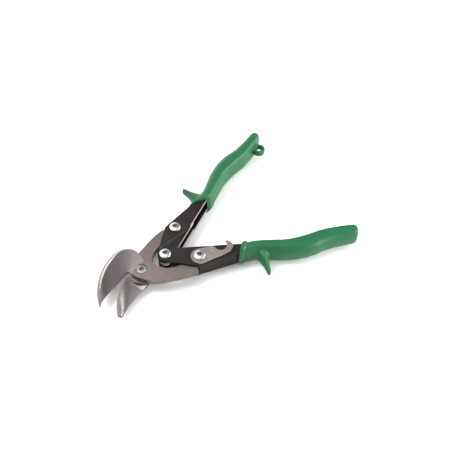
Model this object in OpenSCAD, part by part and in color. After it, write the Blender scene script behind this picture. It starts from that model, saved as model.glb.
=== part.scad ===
// Aviation snips: compound-action hand shears for sheet metal, lying flat, open.
// Origin on the blade pivot axis at the plane the tool rests on; +X runs along the
// symmetry line of the linkage towards the handles, +Z up along the pivot axes.

/* [Linkage] */
// Distance from the blade pivot to the handle pivot, open
handle_pivot_x = 22.4; // [18:0.1:27]
// Distance of the two link bolts from the blade pivot, along the tool
link_x = 43.5; // [36:0.1:53]
// Distance of each link bolt from the symmetry line, open
link_y = 18.6; // [15:0.1:23]
// Angle that closing takes out between the handles
closing_angle = 41.0; // [34:0.5:50]

/* [Lengths] */
// Reach of the front jaw's tip from the blade pivot
jaw_reach = 43.2; // [36:0.1:52]
// Length of a grip's middle line along the tool, from its root to its end
grip_length = 105.6; // [88:0.1:127]

/* [Thicknesses] */
// Thickness of one forged blade at the pivot
blade_t = 5.2; // [4.3:0.1:7]
// Sheet thickness of the pressed handle channels
sheet_t = 2.0; // [1.5:0.1:2.6]
// Thickness of the latch plate
latch_t = 1.8; // [1.2:0.1:2.5]
// Wall of a grip over the flat sides of its channel
grip_wall = 2.6; // [1.6:0.1:3.2]
// Wall that the collar adds round the mouth of a grip
collar_t = 1.0; // [0.6:0.1:1.6]
// Length of the collar
collar_l = 3.4; // [2.5:0.1:5]

/* [Fasteners] */
// Shank radius of the handle and link bolts
bolt_r = 2.5; // [2:0.05:3]
// Head radius of the handle and link bolts
head_r = 4.7; // [3.9:0.1:5.7]
// Height of the domed bolt heads
head_h = 2.2; // [1.5:0.1:3]
// Height of the lock nuts on the handle and link bolts
nut_h = 3.0; // [2.4:0.1:4]
// Width across the flats of those lock nuts
nut_af = 8.0; // [6.6:0.1:9.6]
// Shank radius of the blade pivot bolt
pivot_r = 3.0; // [2.5:0.05:3.6]
// Head radius of the blade pivot bolt, let into the front blade
pivot_head_r = 4.1; // [3.4:0.1:5]
// Width across the flats of the pivot nut
pivot_nut_af = 10.0; // [8.3:0.1:12]

/* [Return spring] */
// Wire radius of the torsion spring
wire_r = 0.75; // [0.5:0.05:0.9]
// Mean coil radius of the torsion spring
coil_r = 4.5; // [4.2:0.05:5.4]

/* [Latch] */
// Play between the hook's throat and the bolt head it holds
throat_play = 0.5; // [0.3:0.05:0.8]

/* [Grips] */
// Stand-out of the finger guards from the middle of the grip
guard_out = 23.4; // [17:0.1:28]
// Radius of the hole in the hanging loop
loop_r = 3.2; // [2.5:0.1:4]
// Rim of the hanging loop round its hole
loop_rim = 2.6; // [2:0.1:3.5]
// Thickness of the hanging loop
loop_t = 5.0; // [4:0.1:8]

/* [Hidden] */
$fn = 64;
run = 0.05;              // radial running clearance on every pivot
open_play = 0.35;        // extra play of the rear blade on the upper link bolt
gap = 0.1;               // side play between layers
face_gap = 0.04;         // half of it on each blade, at the shearing plane
head_room = 0.45;         // round the pivot bolt's head in the front blade
washer_t = 0.6;
inner_z = blade_t + 2 * gap;            // inside half width of the lower channel
outer_z = inner_z + sheet_t;            // outside half width of both channels
ear_out = inner_z - gap;                // the upper channel's ears nest inside
ear_in = ear_out - sheet_t;
// Height of the shearing plane: the tool lies on its nuts or on its collars
zm = outer_z + max(washer_t + nut_h, grip_wall + collar_t);
grip_z = outer_z + grip_wall;           // half height of the grips
nut_end = outer_z + washer_t + nut_h;   // outer face of every nut
H = [handle_pivot_x, 0];
A = [link_x, link_y];
B = [link_x, -link_y];
nose_r = 6.3;
eye_r = bolt_r + 2.4;
spacer_r = coil_r - wire_r + 0.25;      // clear of the spring's legs
// The upper link bolt stands this far from the latch's bolt once the tool is closed
throat_at = 2 * norm(A - H) * sin(atan2(link_y, link_x - handle_pivot_x)
                                  - closing_angle / 2);
throat_r = head_r + throat_play;
hook_x = throat_at + throat_r;
latch_r = head_r + 2.3;
latch_z = outer_z + 0.4;

// ---- helpers ---------------------------------------------------------------

// Point on a smooth curve through the control points, u from 0 to len - 1
function ctrl(p, i) = p[max(0, min(len(p) - 1, i))];
function curve(p, u) =
    let (i = min(floor(u), len(p) - 2), f = u - i,
         a = ctrl(p, i - 1), b = p[i], c = p[i + 1], d = ctrl(p, i + 2))
    0.5 * (2 * b + (c - a) * f + (2 * a - 5 * b + 4 * c - d) * f * f
           + (3 * b - a - 3 * c + d) * f * f * f);
function smooth_line(p, steps) =
    [for (k = [0 : steps]) curve(p, k * (len(p) - 1) / steps)];
function back(p) = [for (k = [len(p) - 1 : -1 : 0]) p[k]];
function unit(v) = v / norm(v);

// Slab between two heights measured from the shearing plane
module slab(z0, z1) {
    translate([0, 0, zm + z0]) linear_extrude(z1 - z0) children();
}

module rod(at, r, z0, z1) {
    translate([at[0], at[1], zm + z0]) cylinder(r = r, h = z1 - z0);
}

// Closed skin over equal rings of points
module skin(rings) {
    n = len(rings[0]);
    m = len(rings);
    polyhedron(
        points = [for (r = rings) for (p = r) p],
        faces = concat(
            [[for (k = [0 : n - 1]) k]],
            [for (i = [0 : m - 2]) for (k = [0 : n - 1])
                for (t = [[[0, 0], [1, 0], [1, 1]], [[0, 0], [1, 1], [0, 1]]])
                    [for (q = t) (i + q[0]) * n + (k + q[1]) % n]],
            [[for (k = [n - 1 : -1 : 0]) (m - 1) * n + k]]),
        convexity = 8);
}

// ---- blades ----------------------------------------------------------------

// Points along the arm are placed part of the way from the pivot to the eye
inner_edge = [[6.6, 7.2], [10.4, 2.8], [11.0, -1.5], [12.5, -5.3], 0.4 * B + [0.2, -3.8],
              0.6 * B + [-0.6, -3.2], 0.8 * B + [-0.8, 0.08], B + [-1.7, eye_r - 0.4]];
outer_edge = [B + [-7.3, -9.2], 0.57 * B + [-0.1, -14.5], 0.34 * B + [-0.4, -14.8],
              [6.0, -17.6], [0, -13.7], [-3.1, -9.8], [-6.8, -4.2], [-8.8, 0.8]];

// The arm and head of the front blade; the rear blade has the same one mirrored
module arm_outline() {
    difference() {
        union() {
            polygon(concat(smooth_line(inner_edge, 28),
                           [B + [-1.3, 0.2 - eye_r], B + [-5.1, -3.8],
                            B + [-5.9, -5.4]],
                           smooth_line(outer_edge, 28)));
            translate(B) circle(eye_r);
        }
        translate(B) circle(bolt_r + run);
    }
}

// Front jaw: a flat hollow face rising from the cutting edge to a ridge, then two
// bevels falling to the thin spine
jaw_root = -9;           // the jaws grow and shrink beyond this line
function jaw(p) = [for (q = p) q[0] > jaw_root ? q
    : [jaw_root + (q[0] - jaw_root) * (jaw_reach + jaw_root) / 34.2, q[1]]];
front_spine = jaw([[8.6, 3.4], [7.0, 8.4], [7.2, 15.0], [3.4, 24.6], [-4.2, 29.7],
                   [-14.7, 27.0], [-24.5, 20.9], [-33.4, 11.6], [-39.6, 1.2],
                   [-43.2, -9.2]]);
front_cut = jaw([[-5.6, -3.2], [-8.0, 2.6], [-9.2, 6.2], [-13.4, 5.2], [-18.2, 3.0],
                 [-23.5, 0.9], [-29.0, -1.3], [-34.4, -3.6], [-39.2, -6.0],
                 [-42.6, -9.6]]);
function front_ring(u) =
    let (s = curve(front_spine, u), c = curve(front_cut, u), d = c - s, l = norm(d),
         e = d / max(l, 0.01), w = min(1, 0.12 + max(u - 2.6, 0) * 0.42),
         b1 = min(4.0 * w, 0.34 * l), b2 = min(6.8 * w, 0.55 * l),
         top = min(1, 0.25 + l * 0.09),
         q = function (m, z) [s[0] + e[0] * m, s[1] + e[1] * m, zm + z])
    [q(0, face_gap / 2), q(0, 0.8), q(b1, (blade_t - 1.9) * top),
     q(b2, (blade_t - 0.9) * top), q((b2 + l) / 2, (blade_t - 2.7) * top + 0.3),
     q(l, 1.4), q(l, face_gap / 2)];

module front_blade() {
    color([0.50, 0.46, 0.43])
    difference() {
        union() {
            slab(face_gap / 2, blade_t) arm_outline();
            skin([for (k = [0 : 30]) back(front_ring(k * 9 / 30))]);
        }
        rod([0, 0], pivot_r + run, -1, blade_t + 1);
        rod([0, 0], pivot_head_r + head_room, blade_t - head_h, blade_t + 1);
    }
}

// Rear jaw: a round head on the pivot, then a narrow flat land behind the cutting
// edge, then a hollow slope
rear_head_r = 10.4;
rear_cut = jaw([[-6.4, 1.6], [-12.8, 4.2], [-20.6, -1.5], [-26.6, -8.2],
                [-32.4, -16.6], [-34.9, -22.0]]);
rear_back = jaw([[3.0, -9.4], [-5.0, -11.9], [-13.2, -14.1], [-21.4, -17.5],
                 [-28.2, -21.4], [-32.4, -24.3]]);
function rear_ring(u) =
    let (s = curve(rear_cut, u), c = curve(rear_back, u), d = c - s, l = norm(d),
         e = d / max(l, 0.01), land = min(2.2, 0.4 * l), fall = min(1, 0.25 + u * 0.6),
         q = function (m, z) [s[0] + e[0] * m, s[1] + e[1] * m, zm + z])
    concat([q(0, -face_gap / 2), q(0, -blade_t), q(l, -blade_t)],
           [for (t = [1, 0.8, 0.6, 0.42, 0.28, 0.16, 0.07])
               q(land + (l - land) * t,
                 -face_gap / 2 - (blade_t - 1.0) * (1 - pow(1 - t, 1.75)) * fall)],
           [q(land, -face_gap / 2)]);

module rear_blade() {
    color([0.50, 0.46, 0.43])
    difference() {
        union() {
            difference() {
                slab(-blade_t, -face_gap / 2) union() {
                    mirror([0, 1]) arm_outline();
                    circle(rear_head_r);
                }
                rod(A, bolt_r + open_play, -blade_t - 1, 1);
            }
            skin([for (k = [0 : 20]) rear_ring(k * 5 / 20)]);
        }
        rod([0, 0], pivot_r + run, -blade_t - 1, 1);
    }
}

// ---- handle channels (drawn for the upper handle, +Y) -----------------------

// Middle line of a grip from its root, behind the link bolt, and its half width
grip_root = A + [18.5, 6.0];
grip_form = [[0, 0, 4.8], [18.0, 7.7, 5.1], [27.5, 12.0, 5.3], [37.0, 18.6, 6.0],
             [46.0, 24.8, 6.5], [55.0, 29.2, 7.1], [66.0, 32.7, 7.3],
             [76.5, 34.5, 6.8], [88.0, 38.3, 6.2], [98.5, 42.8, 5.7],
             [105.6, 46.3, 5.0]];
grip_k = grip_length / 105.6;
grip_line = [for (p = grip_form) [grip_root[0] + p[0] * grip_k,
                                  grip_root[1] + p[1] * grip_k, p[2]]];
function at_xy(u) = let (p = curve(grip_line, u)) [p[0], p[1]];
function dir_at(u) = unit(at_xy(min(u + 0.05, 10)) - at_xy(max(u - 0.05, 0)));
function side_at(u, m) = at_xy(u) + m * [-dir_at(u)[1], dir_at(u)[0]];

edge_a = 31.2;           // direction of the channel's open edge
edge_off = 5.5;          // its distance from the handle pivot
tang = 3.2;              // half depth of the tang inside the grip
front_corner = A + [-8.9, 3.0];
web_a = 13.26;           // direction of the channel's back
web_off = eye_r + sheet_t + 0.45;      // its distance from the link bolt
web_start = A + web_off * [-sin(web_a), cos(web_a)] - 3.35 * [cos(web_a), sin(web_a)];
web_mid = A + web_off * [-sin(web_a), cos(web_a)] + 28.91 * [cos(web_a), sin(web_a)];
tang_end = 9.2;
tang_line = [for (k = [0 : 18]) 1.6 + k * (tang_end - 1.6) / 18];
tang_outer = [for (u = tang_line) side_at(u, tang)];
tang_inner = [for (u = tang_line) side_at(u, -tang)];
tang_wall = [for (u = tang_line) side_at(u, tang - sheet_t)];
nose_a = let (v = front_corner - H) atan2(v[1], v[0]) + acos(nose_r / norm(v));

// The nose sweeps from the front border round to the open edge
nose_end = edge_a - 90 + acos(edge_off / nose_r);
nose_arc = [for (k = [0 : 20]) let (a = nose_a + (nose_end + 360 - nose_a) * k / 20)
               H + nose_r * [cos(a), sin(a)]];

module channel_outline() {
    polygon(concat([front_corner, web_start, web_mid], tang_outer, back(tang_inner),
                   back(nose_arc)));
}

// Everything inside the web: the open side and the front of the channel
module channel_inside() {
    v = unit(web_mid - web_start);
    n = sheet_t * [v[1], -v[0]];
    polygon(concat([[0, -40], [0, 60], web_start + 30 * [-v[1], v[0]],
                    web_start, web_start + n, web_mid + n], tang_wall,
                   [side_at(tang_end, 0) + 20 * dir_at(tang_end),
                    side_at(tang_end, -40)]));
}

module lower_channel() {
    color([0.24, 0.21, 0.21]) mirror([0, 1, 0]) difference() {
        slab(-outer_z, outer_z) channel_outline();
        slab(-inner_z, inner_z) channel_inside();
        rod(H, bolt_r + run, -20, 20);
        rod(A, bolt_r + run, -20, 20);
    }
}

// The upper channel steps inwards along this line so that its ears fit inside
step_at = A + [13, -5];
step_a = 9.2;
step_w = 1.6;
module beyond_step(m) {
    translate(step_at) rotate(step_a) translate([-100, m]) square([300, 200]);
}

module upper_channel() {
    color([0.24, 0.21, 0.21]) difference() {
        union() {
            difference() {
                slab(-outer_z, outer_z) intersection() {
                    channel_outline();
                    beyond_step(0);
                }
                slab(-inner_z, inner_z) channel_inside();
            }
            for (s = [0, 1]) translate([0, 0, s * 2 * zm]) mirror([0, 0, s]) {
                slab(ear_in, ear_out) difference() {
                    channel_outline();
                    beyond_step(step_w);
                }
                slab(ear_in, inner_z + 0.5) difference() {
                    intersection() {
                        channel_outline();
                        beyond_step(0);
                    }
                    beyond_step(step_w);
                }
            }
        }
        rod(H, bolt_r + run, -20, 20);
        rod(A, bolt_r + run, -20, 20);
    }
}

// ---- grips -----------------------------------------------------------------

// One section of a grip: nearly flat with firm corners on the inner side, round
// on the outer side
function bulge(v, p) = sign(v) * pow(abs(v), 2 / p);
function grip_ring(u, add, end) =
    let (w = curve(grip_line, u)[2] + add, h = grip_z + add, c = at_xy(u),
         d = dir_at(u))
    [for (k = [0 : 31])
        let (a = k * 360 / 32, p = cos(a) > 0 ? 2.15 : 4.2,
             m = (cos(a) > 0 ? 1.07 : 1) * w * bulge(cos(a), p) * end,
             z = h * bulge(sin(a), p) * (end + 2) / 3)
        [c[0] - d[1] * m, c[1] + d[0] * m, zm + z]];

grip_end = [for (t = [0.35, 0.6, 0.78, 0.9, 0.97, 1])
               [9.4 + 0.6 * t, pow(1 - 0.96 * t * t, 0.36)]];

// The mouth of a grip is cut along a line from its outer to its inner side
upper_mouth = [grip_root + [3.0, 7.6], grip_root + [21.2, 4.2]];
lower_mouth = [grip_root + [8.1, 10.7], grip_root + [20.4, 0.1]];
module behind_mouth(line, m, l) {
    v = line[1] - line[0];
    translate([line[0][0], line[0][1], -1]) rotate(atan2(v[1], v[0]))
        translate([-60, m, 0]) cube([150, l, 2 * zm + 2]);
}

// Finger guard: a tongue across the grip, flared at its root and rounded at its tip
guard_s = [0, 0.08, 0.16, 0.25, 0.35, 0.46, 0.58, 0.7, 0.8, 0.88, 0.93, 0.97, 1];
module guard(u_root, u_tip) {
    root = side_at(u_root, 1.5);
    v = side_at(u_tip, guard_out) - root;
    d = unit([v[1], -v[0]]);
    skin([for (s = guard_s)
        let (cap = s > 0.86 ? sqrt(1 - pow((s - 0.86) / 0.145, 2)) : 1,
             a = (1.9 + 7.2 * pow(1 - s, 2.5)) * cap,
             b = (3.9 + 4.1 * pow(1 - s, 1.2)) * (cap + 1) / 2)
        [for (k = [0 : 19])
            let (p = root + s * v + a * bulge(cos(k * 18), 1.8) * d)
            [p[0], p[1], zm - b * bulge(sin(k * 18), 1.8)]]]);
}

module grip_body(mouth) {
    difference() {
        union() {
            difference() {
                skin(concat([for (k = [0 : 36]) grip_ring(k * 9.4 / 36, 0, 1)],
                            [for (q = grip_end) grip_ring(q[0], 0, q[1])]));
                behind_mouth(mouth, -80, 80.2);
            }
            intersection() {
                skin([for (k = [0 : 8]) grip_ring(k * 0.32, collar_t, 1)]);
                behind_mouth(mouth, 0, collar_l);
            }
            children();
        }
        slab(-outer_z, outer_z) channel_outline();
    }
}

// The hanging loop stands on the inner side near the end
loop_u = 8.65;
loop_at = side_at(loop_u, -curve(grip_line, loop_u)[2] - loop_r - 0.41);

module upper_grip() {
    color([0.22, 0.50, 0.36]) difference() {
        union() {
            grip_body(upper_mouth) guard(1.03, 1.25);
            rod(loop_at, loop_r + loop_rim, -loop_t / 2, loop_t / 2);
        }
        rod(loop_at, loop_r, -loop_t, loop_t);
    }
}

module lower_grip() {
    color([0.22, 0.50, 0.36]) mirror([0, 1, 0])
        grip_body(lower_mouth) guard(2.23, 2.75);
}

// ---- fasteners -------------------------------------------------------------

// Domed head with a six-point recess, shank down to the nut's outer face
module bolt(at, r, hr, z_head, z_end) {
    difference() {
        union() {
            rod(at, r, z_end, z_head + 0.01);
            translate([at[0], at[1], zm + z_head]) {
                cylinder(r = hr, h = head_h * 0.45);
                translate([0, 0, head_h * 0.45])
                    cylinder(r1 = hr, r2 = hr * 0.62, h = head_h * 0.55);
            }
        }
        for (a = [0, 60, 120]) translate([at[0], at[1], zm + z_head + head_h])
            rotate(a + 15) cube([hr * 0.86, hr * 0.26, head_h * 1.1], center = true);
    }
}

module lock_nut(at, r, af, z0, z1) {
    difference() {
        union() {
            translate([at[0], at[1], zm + z0 + (z1 - z0) * 0.28]) cylinder(
                r = af / sqrt(3), h = (z1 - z0) * 0.72, $fn = 6);
            rod(at, af / 2 * 0.94, z0, z1);
        }
        rod(at, r + 0.02, z0 - 1, z1 + 1);
    }
}

module ring(at, r0, r1, z0, z1) {
    difference() {
        rod(at, r1, z0, z1);
        rod(at, r0, z0 - 1, z1 + 1);
    }
}

zinc = [0.78, 0.79, 0.78];
module pivot_bolt() {
    color(zinc) difference() {
        union() {
            rod([0, 0], pivot_r, -nut_end, blade_t - head_h + 0.01);
            rod([0, 0], pivot_head_r, blade_t - head_h, blade_t - 0.2);
        }
        for (a = [0, 60, 120]) translate([0, 0, zm + blade_t]) rotate(a + 8)
            cube([4.0, 1.2, 2.6], center = true);
    }
}
module pivot_washer() {
    color(zinc) ring([0, 0], pivot_r + 0.1, pivot_nut_af / 2 + 1.2, -blade_t - washer_t, -blade_t);
}
module pivot_nut() {
    color(zinc) lock_nut([0, 0], pivot_r, pivot_nut_af, -nut_end, -blade_t - washer_t);
}
module handle_bolt() { color(zinc) bolt(H, bolt_r, head_r, outer_z, -nut_end); }
module handle_nut() {
    color(zinc) lock_nut(H, bolt_r, nut_af, -nut_end, -outer_z - washer_t);
}
module handle_sleeve() {
    color([0.60, 0.60, 0.58]) ring(H, bolt_r + run, coil_r - wire_r - 0.35,
                                 gap - ear_in, ear_in - gap);
}
module upper_link_bolt() { color(zinc) bolt(A, bolt_r, head_r, outer_z, -nut_end); }
module upper_link_nut() {
    color(zinc) lock_nut(A, bolt_r, nut_af, -nut_end, -outer_z - washer_t);
}
module upper_link_spacer() {
    color([0.60, 0.60, 0.58]) ring(A, bolt_r + run, spacer_r, gap, inner_z);
}
module upper_lock_washer() {
    color(zinc) ring(A, bolt_r + run, nut_af / 2 + 0.1, -outer_z - washer_t, -outer_z);
}
module lower_link_bolt() {
    color(zinc) bolt(B, bolt_r, head_r, latch_z + latch_t + gap, -nut_end);
}
module lower_link_nut() {
    color(zinc) lock_nut(B, bolt_r, nut_af, -nut_end, -outer_z - washer_t);
}
module lower_link_spacer() {
    color([0.60, 0.60, 0.58]) ring(B, bolt_r + run, spacer_r, -inner_z, -gap);
}
module lower_lock_washers() {
    color(zinc) for (p = [H, B])
        ring(p, bolt_r + run, nut_af / 2 + 0.1, -outer_z - washer_t, -outer_z);
}
module latch_washer() {
    color(zinc) ring(B, bolt_r + run, head_r + 0.9, outer_z, latch_z - 0.05);
}

// ---- latch -----------------------------------------------------------------

// Swings on the lower link bolt; its hook takes the head of the upper link bolt
module latch() {
    color([0.55, 0.51, 0.48]) translate([B[0], B[1], zm + latch_z]) rotate(-3.5) {
        difference() {
            linear_extrude(latch_t) difference() {
                union() {
                    circle(latch_r);
                    polygon(concat(
                        [[-0.17, -0.98] * latch_r],
                        smooth_line([[8, -latch_r - 0.7], [hook_x - 8.2, -throat_r - 3.4],
                                     [hook_x - 0.7, -throat_r - 3.0],
                                     [hook_x + 3.4, -throat_r + 0.6],
                                     [hook_x + 3.2, -0.6], [hook_x + 1.4, 1.9],
                                     [hook_x - 0.6, 1.2]], 18),
                        [[throat_at, -2], [throat_at - throat_r - 0.2, 0.6]],
                        smooth_line([[throat_at - throat_r - 0.6, 2.6], [12.4, 3.9],
                                     [9.0, 4.5], [0.31, 0.94] * latch_r], 9)));
                }
                translate([throat_at, 0.3]) circle(throat_r);
                circle(bolt_r + run);
            }
            // shallow dimples for the thumb
            for (p = [[10.8, -1.6], [11.8, 1.6]]) translate([p[0], p[1], latch_t + 1.1])
                sphere(r = 1.5, $fn = 24);
        }
    }
}

// ---- return spring ---------------------------------------------------------

// Torsion spring: a leg in the lower channel, the coil round the sleeve, a leg in
// the upper channel
leg_a = atan2(link_y, link_x - handle_pivot_x) - 0.6;
leg_l = norm(A - H) + 3;
coil_z = ear_in - wire_r - 0.2;
coil_turn = 720 + 2 * (90 + leg_a);
function wire_pt(t) =
    t < 0 ? let (a = 90 - leg_a)
            [H[0] + coil_r * cos(a) - t * cos(leg_a),
             H[1] + coil_r * sin(a) + t * sin(leg_a), zm - coil_z]
    : t > 1 ? let (a = leg_a - 90)
            [H[0] + coil_r * cos(a) + (t - 1) * cos(leg_a),
             H[1] + coil_r * sin(a) + (t - 1) * sin(leg_a), zm + coil_z]
    : let (a = 90 - leg_a + t * coil_turn)
            [H[0] + coil_r * cos(a), H[1] + coil_r * sin(a),
             zm - coil_z + 2 * coil_z * t];
function wire_ring(t) =
    let (p = wire_pt(t), w = unit(wire_pt(t + 0.002) - wire_pt(t - 0.002)),
         n = unit([w[1], -w[0], 0]), b = cross(w, n))
    [for (k = [0 : 11]) p + wire_r * (cos(k * 30) * n + sin(k * 30) * b)];

module return_spring() {
    color([0.62, 0.62, 0.60])
        skin(concat([wire_ring(-leg_l), wire_ring(-0.6)],
                    [for (k = [0 : 60]) wire_ring(0.003 + k * 0.994 / 60)],
                    [wire_ring(1.6), wire_ring(1 + leg_l)]));
}

front_blade();
rear_blade();
pivot_bolt();
pivot_washer();
pivot_nut();
lower_channel();
lower_grip();
upper_channel();
upper_grip();
handle_bolt();
handle_nut();
handle_sleeve();
return_spring();
upper_link_bolt();
upper_link_nut();
upper_link_spacer();
upper_lock_washer();
lower_link_bolt();
lower_link_nut();
lower_link_spacer();
lower_lock_washers();
latch();
latch_washer();
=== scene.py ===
import math

import bmesh
import bpy
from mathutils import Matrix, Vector


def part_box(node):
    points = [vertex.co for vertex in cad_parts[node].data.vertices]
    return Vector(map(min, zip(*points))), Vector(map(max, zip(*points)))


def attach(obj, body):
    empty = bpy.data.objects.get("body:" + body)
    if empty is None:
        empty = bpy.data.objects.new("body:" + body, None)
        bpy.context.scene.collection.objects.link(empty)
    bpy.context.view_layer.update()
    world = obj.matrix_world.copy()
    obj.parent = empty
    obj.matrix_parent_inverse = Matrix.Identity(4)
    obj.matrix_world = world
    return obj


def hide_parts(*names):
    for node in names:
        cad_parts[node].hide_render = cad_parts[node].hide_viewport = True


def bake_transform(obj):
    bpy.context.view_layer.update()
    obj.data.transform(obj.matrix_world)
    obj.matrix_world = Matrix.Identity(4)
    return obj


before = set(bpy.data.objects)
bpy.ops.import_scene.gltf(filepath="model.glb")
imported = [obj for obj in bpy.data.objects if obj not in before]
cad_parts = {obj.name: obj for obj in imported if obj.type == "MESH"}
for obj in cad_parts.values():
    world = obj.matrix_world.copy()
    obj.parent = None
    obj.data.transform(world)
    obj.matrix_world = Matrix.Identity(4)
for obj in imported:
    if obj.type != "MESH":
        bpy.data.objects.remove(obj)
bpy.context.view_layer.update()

MM = 0.001
ZM = 11.0                       # height of the shearing plane above the floor
P = Vector((0, 0))              # blade pivot
H = Vector((22.4, 0))           # handle pivot
A = Vector((43.5, 18.6))        # upper link bolt
B = Vector((43.5, -18.6))       # lower link bolt
OUTER = 7.4                     # outside of the channels, from the shearing plane
EAR = 5.3                       # outside of the upper channel's ears, likewise
BACK_ANGLE = math.radians(13.26)
BACK_OFF = 7.35                 # from a link bolt to its channel's back
BEND_R = 1.7                    # outside radius of the channels' bends
OPEN_EDGE = (0.518, -0.855)     # the way the upper channel's open edge faces
BLADE = 5.2                     # thickness of a blade
HEAD_R, HEAD_H, SHANK_R = 4.7, 2.2, 2.5
PIVOT_R, PIVOT_HEAD_R, PIVOT_HEAD_H = 3.0, 4.1, 2.2


# ---- materials ---------------------------------------------------------------

def material(name, color, metallic=0.0, roughness=0.5, grain=0.0, scale=900,
             stretch=(1, 1, 1), mottle=0.0, bump=0.0, specular=0.5):
    """A node material: a mottled base colour, a varying roughness and a fine bump."""
    m = bpy.data.materials.new(name)
    m.use_nodes = True
    t = m.node_tree
    n, l = t.nodes, t.links
    s = n["Principled BSDF"]
    s.inputs["Metallic"].default_value = metallic
    s.inputs["Roughness"].default_value = roughness
    s.inputs["Base Color"].default_value = (*color, 1)
    s.inputs["Specular IOR Level"].default_value = specular
    co = n.new("ShaderNodeTexCoord")
    mp = n.new("ShaderNodeMapping")
    mp.inputs["Scale"].default_value = stretch
    l.new(co.outputs["Object"], mp.inputs["Vector"])

    def noise(sc, detail=4.0):
        z = n.new("ShaderNodeTexNoise")
        z.inputs["Scale"].default_value = sc
        z.inputs["Detail"].default_value = detail
        l.new(mp.outputs["Vector"], z.inputs["Vector"])
        return z

    def ramp(src, lo, hi):
        r = n.new("ShaderNodeMapRange")
        r.inputs["From Min"].default_value = 0.3
        r.inputs["From Max"].default_value = 0.7
        r.inputs["To Min"].default_value = lo
        r.inputs["To Max"].default_value = hi
        l.new(src, r.inputs["Value"])
        return r.outputs["Result"]

    if mottle:
        z = noise(scale * 0.12)
        mix = n.new("ShaderNodeMix")
        mix.data_type = "RGBA"
        mix.inputs["A"].default_value = (*[c * (1 - mottle) for c in color], 1)
        mix.inputs["B"].default_value = (*[min(1, c * (1 + mottle)) for c in color], 1)
        l.new(ramp(z.outputs["Fac"], 0, 1), mix.inputs["Factor"])
        l.new(mix.outputs["Result"], s.inputs["Base Color"])
    if grain:
        z = noise(scale * 0.4)
        l.new(ramp(z.outputs["Fac"], roughness - grain, roughness + grain),
              s.inputs["Roughness"])
    if bump:
        z = noise(scale)
        b = n.new("ShaderNodeBump")
        b.inputs["Strength"].default_value = bump
        b.inputs["Distance"].default_value = 0.00004
        l.new(z.outputs["Fac"], b.inputs["Height"])
        l.new(b.outputs["Normal"], s.inputs["Normal"])
    return m


forged = material("forged_steel", (0.130, 0.108, 0.101), 0.80, 0.42, 0.05, 1600,
                  mottle=0.10, bump=0.30)
# Darker copy of the steel for the front jaw's face: painted shade for its tilt away from
# the light; the stretched grain is the grinding.
ground_face_painted_shade = material("ground_steel_painted_shade", (0.076, 0.064, 0.066), 0.75, 0.42, 0.05, 1200,
                  stretch=(1, 4, 1), mottle=0.08, bump=0.22)
# Lighter copy of the steel for the front jaw's inner bevel and the chamfer under the head:
# painted highlight where they face the light.
bevel_painted_highlight = material("bevel_steel_painted_highlight", (0.40, 0.36, 0.34), 0.85, 0.34, 0.04, 1200,
                    mottle=0.05, bump=0.12)
hollow = material("hollow_ground_steel", (0.15, 0.135, 0.132), 0.85, 0.34, 0.05, 1200,
                  stretch=(1, 4, 1), mottle=0.10, bump=0.2)
# Lighter copy of the steel for the front jaw's steep outer bevel: painted highlight where
# it faces the light.
rim_painted_highlight = material("jaw_rim_painted_highlight", (0.17, 0.145, 0.138), 0.8, 0.38, 0.04, 1400,
               mottle=0.06, bump=0.15)
black = material("black_steel", (0.009, 0.0055, 0.005), 0.0, 0.50, 0.05, 1400,
                 mottle=0.12, bump=0.18, specular=0.2)
burnished = material("burnished_edge", (0.42, 0.37, 0.36), 0.8, 0.38, 0.05, 1400,
                     mottle=0.1, bump=0.1)
vinyl = material("green_vinyl", (0.008, 0.088, 0.034), 0.0, 0.42, 0.04, 2600,
                 mottle=0.04, bump=0.12, specular=0.25)
zinc = material("zinc_plate", (0.44, 0.46, 0.445), 1.0, 0.30, 0.03, 1500,
                mottle=0.02, bump=0.04)
yellow_zinc = material("pivot_plate", (0.27, 0.285, 0.25), 1.0, 0.32, 0.06, 1500,
                       mottle=0.08, bump=0.12)
recess_dark = material("recess_shade", (0.12, 0.13, 0.12), 0.9, 0.5, 0.05, 1500,
                       mottle=0.1, bump=0.1)
tan_steel = material("latch_plate", (0.215, 0.185, 0.168), 0.8, 0.40, 0.05, 1500,
                     mottle=0.08, bump=0.25)
spring_wire = material("spring_wire", (0.42, 0.42, 0.40), 1.0, 0.34, 0.05, 1500,
                       mottle=0.06, bump=0.08)


# ---- mesh helpers --------------------------------------------------------------

SMOOTH = 32                     # edges sharper than this many degrees stay sharp


def new_object(name, bm, mats, body, replaced=(), smooth_deg=SMOOTH):
    """A mesh object with its finishes, riding on a body in place of CAD nodes."""
    mesh = bpy.data.meshes.new(name)
    bm.to_mesh(mesh)
    bm.free()
    for mat in mats:
        mesh.materials.append(mat)
    obj = bpy.data.objects.new(name, mesh)
    bpy.context.scene.collection.objects.link(obj)
    if smooth_deg:
        shade(mesh, smooth_deg)
        keep_flats(obj)
    if body:
        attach(obj, body)
    if replaced:
        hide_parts(*replaced)
    return obj


def keep_flats(obj):
    """Keeps a broad flat face flat beside the rounded edges that it meets."""
    obj.modifiers.new("flats", "WEIGHTED_NORMAL").keep_sharp = True


def shade(mesh, degrees):
    """Smooth faces; sharper edges and borders between two finishes stay sharp."""
    for p in mesh.polygons:
        p.use_smooth = True
    bm = bmesh.new()
    bm.from_mesh(mesh)
    for e in bm.edges:
        e.smooth = (len(e.link_faces) == 2 and e.calc_face_angle(0) < math.radians(degrees)
                    and len({f.material_index for f in e.link_faces}) == 1)
    bm.to_mesh(mesh)
    bm.free()


def cad_copy(node):
    """The CAD node's mesh with its vertices merged."""
    bm = bmesh.new()
    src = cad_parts[node]
    bm.from_mesh(src.data)
    bm.transform(src.matrix_world)
    bmesh.ops.remove_doubles(bm, verts=bm.verts, dist=2e-6)
    bm.normal_update()
    return bm


def joined_flats(bm):
    """Joins the triangles of each flat face into one, so that only real edges are left."""
    bmesh.ops.dissolve_limit(bm, angle_limit=math.radians(0.4), verts=bm.verts,
                             edges=bm.edges, delimit={"NORMAL"})


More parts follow.
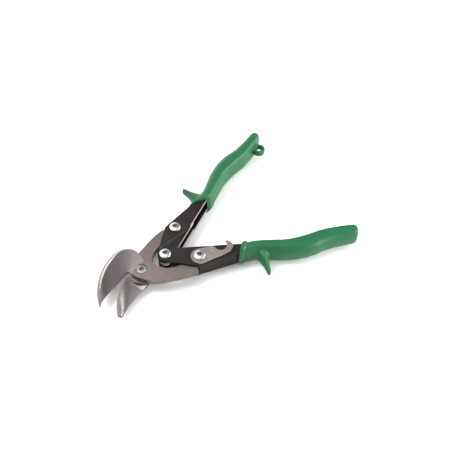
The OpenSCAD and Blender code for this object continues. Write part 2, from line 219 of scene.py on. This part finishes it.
def round_edges(bm, pick, width, segments=2, mat=-1):
    """Rounds the edges that pick accepts."""
    edges = [e for e in bm.edges if len(e.link_faces) == 2 and pick(e)]
    bmesh.ops.bevel(bm, geom=edges, offset=width * MM, offset_type="OFFSET",
                    segments=segments, profile=0.5, affect="EDGES", clamp_overlap=True,
                    material=mat)
    bm.normal_update()


def corner(e, degrees):
    """Whether the surface turns by more than this at an edge."""
    return e.calc_face_angle(0) > math.radians(degrees)


def lathe(profile, at, steps=48):
    """A closed solid of revolution about a vertical axis, from (radius, z) in mm."""
    bm = bmesh.new()
    rows = []
    for r, z in profile:
        if r < 1e-6:
            rows.append([bm.verts.new((at[0] * MM, at[1] * MM, z * MM))])
        else:
            rows.append([bm.verts.new(((at[0] + r * math.cos(a)) * MM,
                                       (at[1] + r * math.sin(a)) * MM, z * MM))
                         for a in (2 * math.pi * k / steps for k in range(steps))])
    for lo, hi in zip(rows, rows[1:]):
        for k in range(steps):
            j = (k + 1) % steps
            quad = [lo[k % len(lo)], lo[j % len(lo)], hi[j % len(hi)], hi[k % len(hi)]]
            face = []
            for v in quad:
                if v not in face:
                    face.append(v)
            if len(face) > 2:
                bm.faces.new(face)
    bmesh.ops.recalc_face_normals(bm, faces=bm.faces)
    return bm


# ---- fasteners ---------------------------------------------------------------

def star_cutter(at, z, r, depth, turn):
    """Six-armed recess, tapering as it goes in."""
    bm = bmesh.new()
    n = 36
    rings = []
    for dz, k in ((0.6, 1.02), (-depth * 0.85, 0.80), (-depth, 0.55)):
        ring = []
        for i in range(n):
            a = 2 * math.pi * i / n
            rad = r * k * (0.78 + 0.22 * math.cos(6 * a))
            ring.append(bm.verts.new(((at[0] + rad * math.cos(a + turn)) * MM,
                                      (at[1] + rad * math.sin(a + turn)) * MM,
                                      (z + dz) * MM)))
        rings.append(ring)
    for lo, hi in zip(rings, rings[1:]):
        for i in range(n):
            bm.faces.new((lo[i], lo[(i + 1) % n], hi[(i + 1) % n], hi[i]))
    bm.faces.new(rings[0])
    bm.faces.new(rings[-1])
    bmesh.ops.recalc_face_normals(bm, faces=bm.faces)
    return bm


def cut(obj, cutter_bm, mats):
    """Takes a cutter out of an object for good."""
    tool = new_object("tool", cutter_bm, mats, None, smooth_deg=0)
    mod = obj.modifiers.new("cut", "BOOLEAN")
    mod.operation = "DIFFERENCE"
    mod.solver = "EXACT"
    mod.object = tool
    dg = bpy.context.evaluated_depsgraph_get()
    mesh = bpy.data.meshes.new_from_object(obj.evaluated_get(dg))
    obj.modifiers.clear()
    obj.data = mesh
    bpy.data.objects.remove(tool)
    shade(mesh, SMOOTH)
    keep_flats(obj)


def bolt(node, body, at, under, turn):
    """Domed head with a star recess, and the shank down to the nut's outer face."""
    box_lo, box_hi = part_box(node)
    end, top = box_lo[2] / MM, box_hi[2] / MM
    h = top - under
    r, shank = HEAD_R, SHANK_R
    dome = [(r * math.cos(a), under + h * 0.36 + h * 0.64 * math.sin(a))
            for a in (math.radians(d) for d in range(0, 91, 9))]
    profile = [(0, end), (shank - 0.3, end), (shank, end + 0.3), (shank, under),
               (r - 0.25, under), (r, under + 0.25)] + dome[:-1] + [(0, top)]
    obj = new_object(node + "_turned", lathe(profile, at), [zinc, recess_dark], None)
    cut(obj, star_cutter(at, top, 2.6, 1.6, turn), [recess_dark])
    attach(obj, body)
    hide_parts(node)


bolt("handle_bolt", "lower_handle", H, ZM + OUTER, 0.3)
bolt("upper_link_bolt", "upper_handle", A, ZM + OUTER, 0.1)
lower_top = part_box("lower_link_bolt")[1][2] / MM
bolt("lower_link_bolt", "lower_handle", B, lower_top - HEAD_H, 0.55)

# Blade pivot bolt, let into the front blade
top = ZM + BLADE - 0.2
seat = ZM + BLADE - PIVOT_HEAD_H
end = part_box("pivot_bolt")[0][2] / MM
profile = [(0, end), (PIVOT_R - 0.3, end), (PIVOT_R, end + 0.3), (PIVOT_R, seat),
           (PIVOT_HEAD_R, seat), (PIVOT_HEAD_R, top - 0.25),
           (PIVOT_HEAD_R - 0.2, top - 0.05), (0, top + 0.1)]
obj = new_object("pivot_bolt_turned", lathe(profile, P), [yellow_zinc, recess_dark], None)
cut(obj, star_cutter(P, top, 2.5, 1.5, 0.2), [recess_dark])
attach(obj, "front_blade")
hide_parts("pivot_bolt")

# Nuts, washers, spacers and the sleeve keep their CAD shape with broken edges
for node, mat, width in (
        ("handle_nut", zinc, 0.2), ("upper_link_nut", zinc, 0.2),
        ("lower_link_nut", zinc, 0.2), ("pivot_nut", zinc, 0.25),
        ("pivot_washer", zinc, 0.1), ("upper_lock_washer", zinc, 0.1),
        ("lower_lock_washers", zinc, 0.1), ("latch_washer", zinc, 0.08),
        ("handle_sleeve", zinc, 0.08), ("upper_link_spacer", zinc, 0.1),
        ("lower_link_spacer", zinc, 0.1)):
    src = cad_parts[node]
    src.data.materials.clear()
    src.data.materials.append(mat)
    weld = src.modifiers.new("weld", "WELD")
    weld.merge_threshold = 1e-6
    bev = src.modifiers.new("edge", "BEVEL")
    bev.width = width * MM
    bev.segments = 2
    bev.limit_method = "ANGLE"
    bev.angle_limit = math.radians(35)


# ---- blades ------------------------------------------------------------------

HEAD_LINE = Vector((-8.8, 0.8)), Vector((6.6, 7.2))
JAW_MIDDLE = Vector((-14, 4))   # the bevels of the front jaw face away from here


def on_head_line(e):
    """The straight edge where the front blade's head stops above its jaw.

    The recess for the pivot bolt's head cuts this edge, so its bevel is clamped to almost
    nothing.
    """
    a, b = HEAD_LINE
    d = (b - a).normalized()
    return all(abs(v.co.z / MM - ZM - BLADE) < 0.05
               and abs((v.co.xy / MM - a).cross(d)) < 0.25 for v in e.verts)


def blade(node, body):
    """Forged all over, with the jaw's working face and bevels finished by grinding; on the
    front jaw the face is painted darker as shade and the bevels lighter as highlight.
    """
    bm = cad_copy(node)
    joined_flats(bm)
    if node == "front_blade":
        # The chamfer along the head line takes the painted highlight copy of the steel.
        round_edges(bm, on_head_line, 1.1, 1, 2)
    round_edges(bm, lambda e: corner(e, 38), 0.22, 2)
    for f in bm.faces:
        if f.material_index == 2:
            continue
        c, n = f.calc_center_median() / MM, f.normal
        up = n.z > 0.2
        slope = math.degrees(math.acos(max(-1, min(1, n.z))))
        f.material_index = 0
        if node == "front_blade" and up and c.x < 8 and ZM + 0.5 < c.z < ZM + 5.1:
            # Bevels facing away from the jaw's middle take lighter copies as painted
            # highlight, the shallower inner bevel the brighter one.
            if 6 < slope < 70 and n.xy.dot(c.xy - JAW_MIDDLE) > 0:
                f.material_index = 2 if slope < 35 else 3
            # The rest of the front jaw's upper side takes the darker copy: painted shade.
            else:
                f.material_index = 1
        if node == "rear_blade" and up and c.x < 0 and c.z < ZM - 0.3:
            f.material_index = 1
    face = ground_face_painted_shade if node == "front_blade" else hollow
    return new_object(node + "_ground", bm, [forged, face, bevel_painted_highlight, rim_painted_highlight], body, [node],
                      14)


for node in ("front_blade", "rear_blade"):
    blade(node, node)


# ---- handle channels ------------------------------------------------------------

STEP_AT = Vector((56.5, 13.6))  # the upper channel steps inwards beyond this line
STEP = Vector((math.cos(math.radians(9.2)), math.sin(math.radians(9.2))))


def soften_step(bm):
    """Moves the corners at the foot of the step, which draws its wall out into a slope.

    On the upper side one corner slides some 30 mm along the foot of the step instead of
    out across the ear, so the slope there is one long twisted face.
    """
    def off(v):
        return (v.co.xy / MM - STEP_AT).cross(STEP)

    for v in bm.verts:
        if abs(abs(v.co.z / MM - ZM) - EAR) > 0.03 or abs(off(v)) > 0.05:
            continue
        reach = 0.8 + 2.2 * max(0.0, min(1.0, (STEP_AT - v.co.xy / MM).dot(STEP) / 30))
        for e in v.link_edges:
            o = e.other_vert(v)
            if abs(o.co.z - v.co.z) < 1e-5 and off(o) > 0.1:
                v.co = v.co + (o.co - v.co) * min(0.9, reach / off(o))
                break
    bm.normal_update()


def channel(node, body, side):
    """Pressed steel: broad bends along the back, burnished sheared edges elsewhere."""
    bm = cad_copy(node)
    joined_flats(bm)
    along = Vector((math.cos(BACK_ANGLE), side * math.sin(BACK_ANGLE)))
    start = (Vector((A.x, side * A.y)) - 3.35 * along
             + BACK_OFF * side * Vector((-along.y, along.x)))

    def bend(e):
        if not corner(e, 60):
            return False
        for v in e.verts:
            p = v.co / MM
            if abs(abs(p.z - ZM) - OUTER) > 0.05:
                return False
            w = p.xy - start
            if abs(w.cross(along)) > 0.15 or w.dot(along) < -0.2:
                return False
        return True

    round_edges(bm, bend, BEND_R, 5)
    if side > 0:
        soften_step(bm)
    round_edges(bm, lambda e: corner(e, 48), 0.2, 2)
    open_side = Vector((OPEN_EDGE[0], OPEN_EDGE[1] * side))
    for f in bm.faces:
        height = abs(f.calc_center_median().z / MM - ZM)
        if height > 3.4 and abs(f.normal.z) < 0.3 and f.normal.xy.dot(open_side) > 0.75:
            f.material_index = 1
    return new_object(node + "_pressed", bm, [black, burnished], body, [node],
                      35)


channel("lower_channel", "lower_handle", -1)
channel("upper_channel", "upper_handle", 1)


# ---- grips -------------------------------------------------------------------

def grip(node, body):
    """Dipped vinyl: the CAD shape with every edge and junction softened."""
    bm = cad_copy(node)
    obj = new_object(node + "_moulded", bm, [vinyl], body, [node], 0)
    mod = obj.modifiers.new("remesh", "REMESH")
    mod.mode = "VOXEL"
    mod.voxel_size = 0.5 * MM
    mod.use_smooth_shade = True
    sm = obj.modifiers.new("soften", "SMOOTH")
    sm.factor = 0.5
    sm.iterations = 8
    return obj


grip("upper_grip", "upper_handle")
grip("lower_grip", "lower_handle")


# ---- latch -------------------------------------------------------------------

bm = cad_copy("latch")
joined_flats(bm)
round_edges(bm, lambda e: corner(e, 40), 0.3, 3, 1)
new_object("latch_stamped", bm, [tan_steel, burnished], "latch", ["latch"],
           35)


# ---- return spring -------------------------------------------------------------

COIL_R, WIRE_R = 4.5, 0.75


def spring():
    """Coil round the sleeve with a leg along each handle."""
    coil, wire = COIL_R, WIRE_R
    lowest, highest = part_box("return_spring")
    half = (highest[2] - lowest[2]) / MM / 2 - wire
    leg_dir = math.atan2(A.y, A.x - H.x) - math.radians(0.6)
    leg = (A - H).length + 3
    a0 = math.pi / 2 - leg_dir
    turn = 4 * math.pi + 2 * (math.pi / 2 + leg_dir)
    path = [(H.x + coil * math.cos(a0) + leg * k * math.cos(leg_dir),
             H.y + coil * math.sin(a0) - leg * k * math.sin(leg_dir), ZM - half)
            for k in (1, 0.66, 0.33, 0.04)]
    steps = 96
    for i in range(steps + 1):
        t = i / steps
        a = a0 + t * turn
        path.append((H.x + coil * math.cos(a), H.y + coil * math.sin(a),
                     ZM - half + 2 * half * t))
    a1 = leg_dir - math.pi / 2
    path += [(H.x + coil * math.cos(a1) + leg * k * math.cos(leg_dir),
              H.y + coil * math.sin(a1) + leg * k * math.sin(leg_dir), ZM + half)
             for k in (0.04, 0.33, 0.66, 1)]
    pts = [Vector(p) for p in path]
    bm = bmesh.new()
    rings, n = [], 14
    for i, p in enumerate(pts):
        d = (pts[min(i + 1, len(pts) - 1)] - pts[max(i - 1, 0)]).normalized()
        side = Vector((d.y, -d.x, 0)).normalized()
        up = side.cross(d)
        rings.append([bm.verts.new((p + wire * (math.cos(2 * math.pi * k / n) * side
                                                + math.sin(2 * math.pi * k / n) * up)) * MM)
                      for k in range(n)])
    for lo, hi in zip(rings, rings[1:]):
        for k in range(n):
            bm.faces.new((lo[k], lo[(k + 1) % n], hi[(k + 1) % n], hi[k]))
    bm.faces.new(rings[0])
    bm.faces.new(rings[-1])
    bmesh.ops.recalc_face_normals(bm, faces=bm.faces)
    obj = new_object("return_spring_wire", bm, [spring_wire], None, (), 40)
    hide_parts("return_spring")
    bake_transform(obj)
    return obj


spring()


# ---- floor, light and camera --------------------------------------------------------

floor_mat = material("floor", (0.86, 0.86, 0.86), 0.0, 0.9, 0.02, 40, mottle=0.01)
bm = bmesh.new()
bmesh.ops.create_grid(bm, x_segments=1, y_segments=1, size=3)
floor = new_object("floor", bm, [floor_mat], None, smooth_deg=0)
floor.location.z = -0.0002

bpy.context.scene.view_settings.view_transform = "Standard"
world = bpy.data.worlds.new("studio")
bpy.context.scene.world = world
world.use_nodes = True
world.node_tree.nodes["Background"].inputs["Color"].default_value = (1, 1, 1, 1)
world.node_tree.nodes["Background"].inputs["Strength"].default_value = 0.5


MIDDLE = (0.08, 0, 0)


def area_light(name, place, size, power):
    """A rectangular lamp aimed at the middle of the snips."""
    d = bpy.data.lights.new(name, "AREA")
    d.shape = "RECTANGLE"
    d.size, d.size_y = size
    d.energy = power
    o = bpy.data.objects.new(name, d)
    bpy.context.scene.collection.objects.link(o)
    o.location = place
    o.rotation_euler = (Vector(MIDDLE) - Vector(place)).to_track_quat("-Z", "Y").to_euler()


area_light("key", (-0.25, 0.35, 0.75), (0.5, 0.5), 9)
area_light("fill", (0.62, -0.6, 0.22), (0.8, 0.3), 13)
area_light("top", (0.05, 0.05, 1.0), (0.8, 0.8), 3)
area_light("back", (0.1, 0.9, 0.25), (1.2, 0.2), 4)
area_light("right", (0.85, -0.12, 0.4), (0.4, 0.4), 3)

cam_data = bpy.data.cameras.new("camera")
cam_data.sensor_width = 36
cam_data.lens = 46.8
cam_data.clip_start, cam_data.clip_end = 0.01, 20
cam = bpy.data.objects.new("camera", cam_data)
bpy.context.scene.collection.objects.link(cam)
eye = Vector((-96.5, -252.4, 402.9)) * MM
aim = Vector((82.5, 1.4, 11.0)) * MM
cam.location = eye
cam.rotation_euler = (aim - eye).to_track_quat("-Z", "Y").to_euler()
bpy.context.scene.camera = cam
